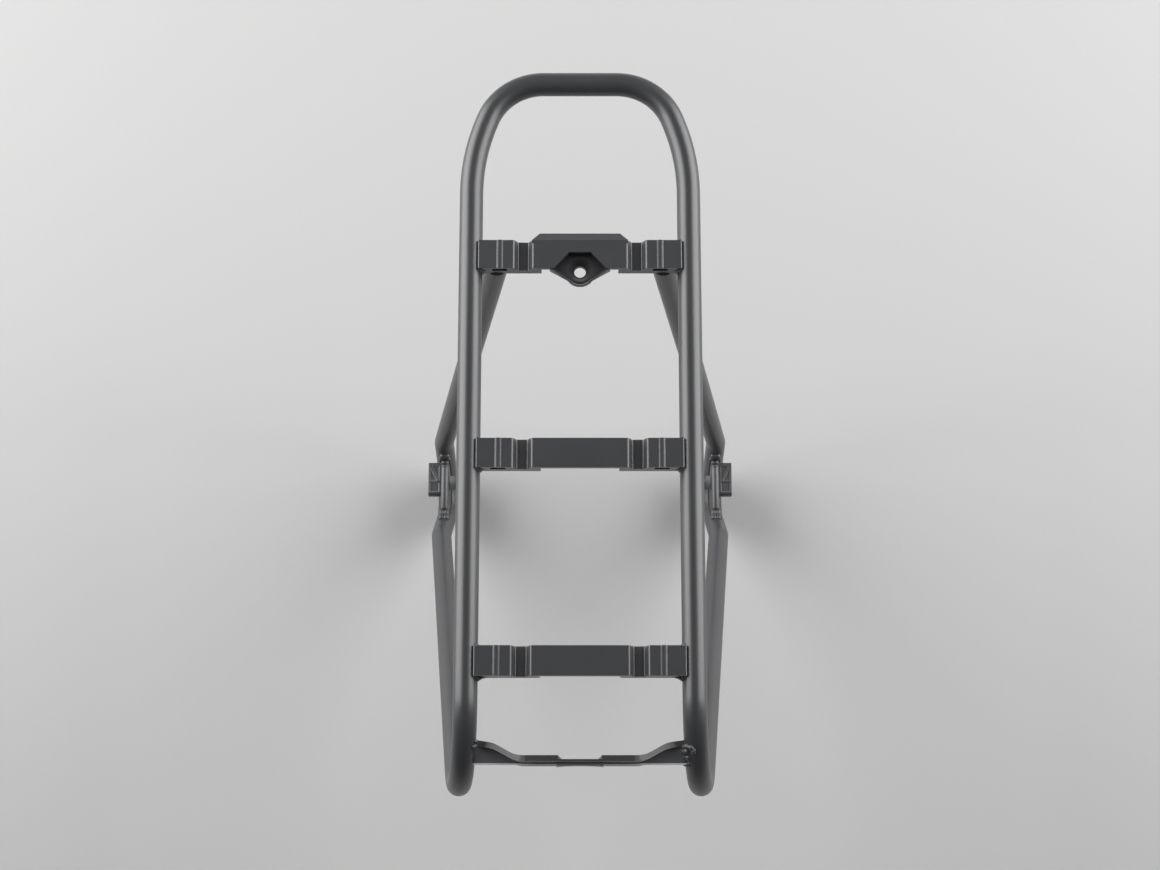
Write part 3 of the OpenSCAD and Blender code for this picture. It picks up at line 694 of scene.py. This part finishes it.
class Look:
    """A material with one shader, and the few kinds of node that the looks here are made of."""

    def __init__(self, name):
        self.material = bpy.data.materials.new(name)
        self.material.use_nodes = True
        self.tree = self.material.node_tree
        self.shader = self.tree.nodes["Principled BSDF"]

    def node(self, kind, **settings):
        made = self.tree.nodes.new(kind)
        for socket, value in settings.items():
            made.inputs[socket.replace("_", " ")].default_value = value
        return made

    def feed(self, output, node, socket):
        self.tree.links.new(output, node.inputs[socket])

    def place(self):
        """Where a point is on its object, in metres."""
        return self.node("ShaderNodeTexCoord").outputs["Object"]

    def noise(self, place, scale, detail):
        made = self.node("ShaderNodeTexNoise", Scale=scale, Detail=detail)
        self.feed(place, made, "Vector")
        return made.outputs["Fac"]

    def ramp(self, amount, start, end, dark, light):
        """The colour from dark at start to light at end."""
        made = self.node("ShaderNodeValToRGB")
        low, high = made.color_ramp.elements
        low.position = start
        low.color = (*dark, 1)
        high.position = end
        high.color = (*light, 1)
        self.feed(amount, made, "Fac")
        return made.outputs["Color"]

    def stretch(self, amount, start, end, low, high):
        """start to end becomes low to high, and nothing goes past them."""
        made = self.node("ShaderNodeMapRange", From_Min=start, From_Max=end, To_Min=low, To_Max=high)
        self.feed(amount, made, "Value")
        return made.outputs["Result"]

    def maths(self, operation, *amounts):
        made = self.node("ShaderNodeMath")
        made.operation = operation
        for socket, amount in enumerate(amounts):
            self.feed(amount, made, socket)
        return made.outputs["Value"]

    def over(self, under, mask, colour):
        """The colour laid over the one under it, as far as the mask says."""
        made = self.node("ShaderNodeMix")
        made.data_type = "RGBA"
        made.inputs[MIX_OVER].default_value = (*colour, 1)
        self.feed(mask, made, MIX_FACTOR)
        self.feed(under, made, MIX_UNDER)
        return made.outputs[MIX_RESULT]

    def attribute(self, name):
        made = self.node("ShaderNodeAttribute")
        made.attribute_name = name
        return made.outputs["Fac"]

    def bump(self, height, strength, distance, under=None):
        made = self.node("ShaderNodeBump", Strength=strength, Distance=distance)
        self.feed(height, made, "Height")
        if under:
            self.feed(under, made, "Normal")
        return made.outputs["Normal"]

    def wire(self, colour, roughness, normal):
        self.feed(colour, self.shader, "Base Color")
        self.feed(roughness, self.shader, "Roughness")
        self.feed(normal, self.shader, "Normal")
        return self.material


COAT = ((0.041, 0.042, 0.045), (0.048, 0.049, 0.052))
BAR_COAT = ((0.043, 0.044, 0.047), (0.050, 0.051, 0.054))
BRACKET_COAT = ((0.030, 0.031, 0.033), (0.037, 0.038, 0.040))
# Painted highlight laid along rounded edges
PAINTED_HIGHLIGHT_COLOUR = (0.3, 0.303, 0.308)
# Painted shade laid into pockets and slots
PAINTED_SHADE = (0.012, 0.012, 0.014)
PALE_ARM = (0.092, 0.093, 0.097)
# Near-white band along the light bracket's rear edge
PALE_REAR_EDGE = (0.7, 0.705, 0.71)


def paint(name, coat, rough, grain=1.0, pale_arms_and_edge=False):
    """Satin powder coat with fine orange peel and faint drifts of colour and roughness.

    Paler on rounded edges, a painted highlight, and darker in pockets and slots, painted shade. The
    bracket's flag pales its curved arms and lays a near-white band along the bracket's rear edge.
    """
    look = Look(name)
    place = look.place()
    drift = look.noise(place, 22, 4)
    colour = look.ramp(drift, 0.3, 0.7, *coat)
    patchy = look.stretch(drift, 0.35, 0.65, 0.3, 0.85)
    # Paler on rounded edges, patchily: a painted highlight
    colour = look.over(colour, look.maths("MULTIPLY", look.attribute("wear"), patchy), PAINTED_HIGHLIGHT_COLOUR)
    # Darker in pockets and slots: painted shade
    colour = look.over(colour, look.attribute("recess"), PAINTED_SHADE)
    if pale_arms_and_edge:
        split = look.node("ShaderNodeSeparateXYZ")
        look.feed(place, split, "Vector")
        out = look.maths("ABSOLUTE", split.outputs["X"])
        arms = look.stretch(out, 30.6 * MM, 31.6 * MM, 0, 1)
        colour = look.over(colour, arms, PALE_ARM)
        rear_edge = look.stretch(split.outputs["Y"], (REAR_Y + 9.0) * MM, (REAR_Y + 8.75) * MM, 0, 1)
        # A near-white band along the rear edge
        colour = look.over(colour, rear_edge, PALE_REAR_EDGE)
    peel = look.noise(place, 900 * grain, 3)
    fine = look.noise(place, 3200 * grain, 2)
    spread = look.stretch(fine, 0.25, 0.75, rough - 0.05, rough + 0.06)
    relief = look.bump(fine, 0.15, 0.00003, look.bump(peel, 0.25, 0.00008))
    look.shader.inputs["Specular IOR Level"].default_value = 1.0
    return look.wire(colour, spread, relief)


def steel(name, dark, light, rough, metallic=1.0):
    """Zinc-plated steel with fine blotches in its colour, roughness and relief."""
    look = Look(name)
    blotch = look.noise(look.place(), 260, 5)
    colour = look.ramp(blotch, 0.35, 0.65, dark, light)
    spread = look.stretch(blotch, 0, 1, rough - 0.1, rough + 0.1)
    look.shader.inputs["Metallic"].default_value = metallic
    return look.wire(colour, spread, look.bump(blotch, 0.2, 0.00005))


LOOKS = {
    "tube_paint": paint("tube_paint", COAT, 0.36),
    "bar_paint": paint("bar_paint", BAR_COAT, 0.34),
    "bracket_paint": paint("bracket_paint", BRACKET_COAT, 0.38, pale_arms_and_edge=True),
    "plate_paint": paint("plate_paint", COAT, 0.42),
    "block_paint": paint("block_paint", COAT, 0.48, 0.8),
    "weld_paint": paint("weld_paint", COAT, 0.42),
    "bolt_steel": steel("bolt_steel", (0.10, 0.10, 0.11), (0.16, 0.16, 0.17), 0.4),
    "washer_steel": steel("washer_steel", (0.34, 0.34, 0.35), (0.42, 0.42, 0.43), 0.35),
    "spacer_steel": steel("spacer_steel", (0.40, 0.41, 0.42), (0.50, 0.51, 0.52), 0.38, 0.45),
    "nut_steel": steel("nut_steel", (0.32, 0.32, 0.33), (0.40, 0.40, 0.41), 0.36),
}
slot_of = {s["node"]: s["material_slot"] for s in frame["record"]["subparts"]}
for obj in bpy.data.objects:
    if obj.type != "MESH":
        continue
    slot = slot_of.get(obj.name) or obj.get("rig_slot")
    if slot in LOOKS:
        obj.data.materials.clear()
        obj.data.materials.append(LOOKS[slot])

# ---- Floor, light and camera, in metres ----

FLOOR_GAP = 0.0002
floor_mesh = bpy.data.meshes.new("floor")
floor_mesh.from_pydata([(-6, -6, 0), (6, -6, 0), (6, 6, 0), (-6, 6, 0)], [], [(0, 1, 2, 3)])
floor = bpy.data.objects.new("floor", floor_mesh)
floor.location.z = cad_low.z - FLOOR_GAP
bpy.context.scene.collection.objects.link(floor)
pale = Look("floor_pale")
pale.shader.inputs["Base Color"].default_value = (0.60, 0.60, 0.595, 1)
pale.shader.inputs["Roughness"].default_value = 0.9
pale.shader.inputs["Specular IOR Level"].default_value = 0.1
floor.data.materials.append(pale.material)


def softbox(name, where, target, size, power):
    data = bpy.data.lights.new(name, "AREA")
    data.shape = "RECTANGLE"
    data.size, data.size_y = size
    data.energy = power
    obj = bpy.data.objects.new(name, data)
    obj.location = where
    obj.rotation_mode = "QUATERNION"
    obj.rotation_quaternion = (Vector(target) - Vector(where)).to_track_quat("-Z", "Y")
    bpy.context.scene.collection.objects.link(obj)


softbox("softbox_left", (-1.35, 0.76, 1.04), (0, 0.66, 0.77), (1.7, 1.9), 44)
softbox("softbox_right", (1.35, 0.76, 1.07), (0, 0.66, 0.77), (1.7, 1.9), 41)
softbox("front_card", (0, 2.6, 0.5), (0, 0.2, 0.3), (2.2, 0.7), 2.5)

world = bpy.data.worlds.new("studio")
world.use_nodes = True
world.node_tree.nodes["Background"].inputs["Color"].default_value = (0.95, 0.97, 1.0, 1)
world.node_tree.nodes["Background"].inputs["Strength"].default_value = 0.12
bpy.context.scene.world = world

cam_data = bpy.data.cameras.new("camera")
cam_data.sensor_width = 36.0
cam_data.lens = 66.72
cam_data.clip_start = 0.05
cam_data.clip_end = 50
camera = bpy.data.objects.new("camera", cam_data)
camera.location = (0.0, -0.31065, 1.58458)
camera.rotation_euler = (math.radians(13.846), 0, 0)
bpy.context.scene.collection.objects.link(camera)
bpy.context.scene.camera = camera
bpy.context.scene.view_settings.view_transform = "Standard"
